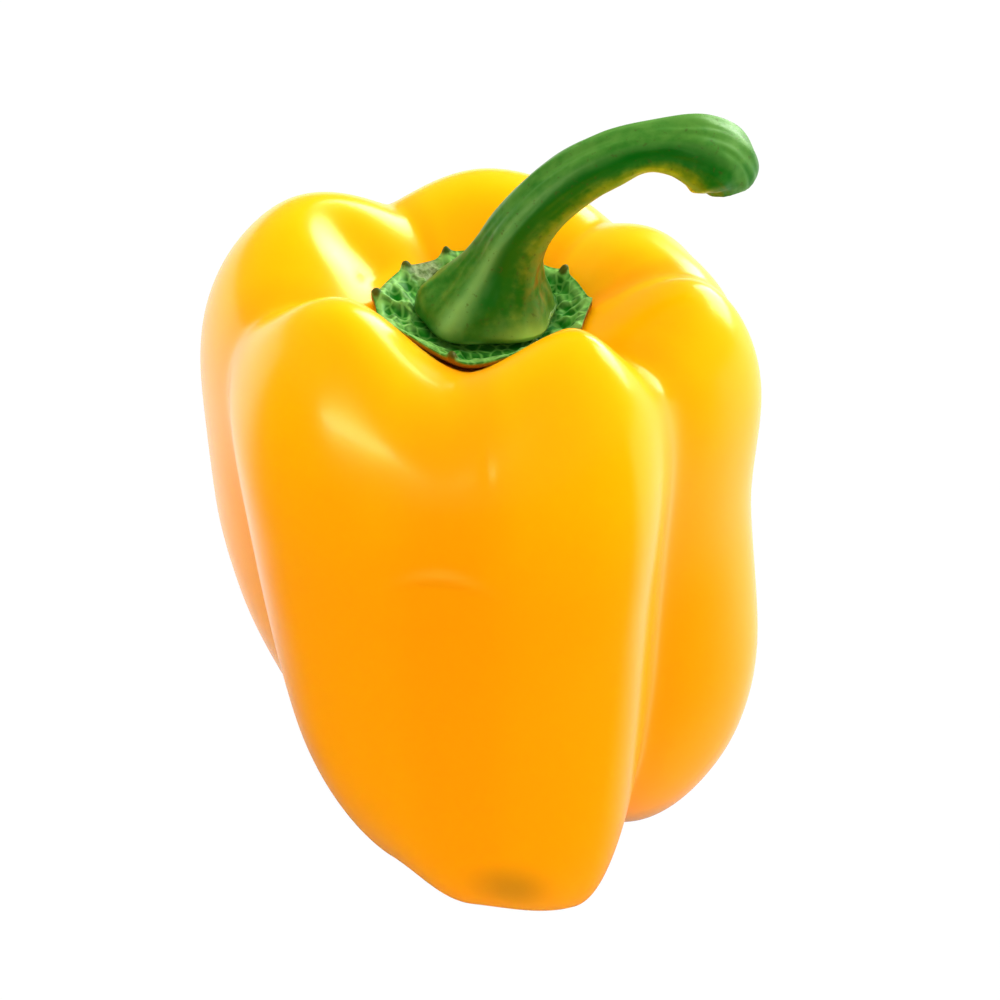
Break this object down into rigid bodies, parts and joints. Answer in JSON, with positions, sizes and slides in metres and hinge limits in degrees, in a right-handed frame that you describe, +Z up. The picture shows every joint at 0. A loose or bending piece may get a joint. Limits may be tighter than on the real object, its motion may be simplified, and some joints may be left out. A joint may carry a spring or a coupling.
{
  "type": "bell pepper",
  "caption": "Ripe yellow bell pepper as picked: a blocky lobed fruit standing on its lobes, with a wrinkled green calyx and a thick bent green stem.",
  "frame": {"origin": "under the middle of the pepper's box, on the surface that the lobes stand on", "axes": "+Z up from the feet to the stem, +X the way the stem bends, -Y out of the broad front lobe"},
  "size_m": [0.0876, 0.0828, 0.1309],
  "materials": {
    "skin": "waxy, glossy ripe skin, orange-yellow low down and purer yellow on the shoulders",
    "calyx": "matt wrinkled leaf green with dark pits and dark tips",
    "stem": "half-gloss streaked green stalk, olive on its underside"
  },
  "bodies": {
    "root": {"fruit": "skin", "calyx": "calyx", "stem": "stem"}
  },
  "joints": []
}
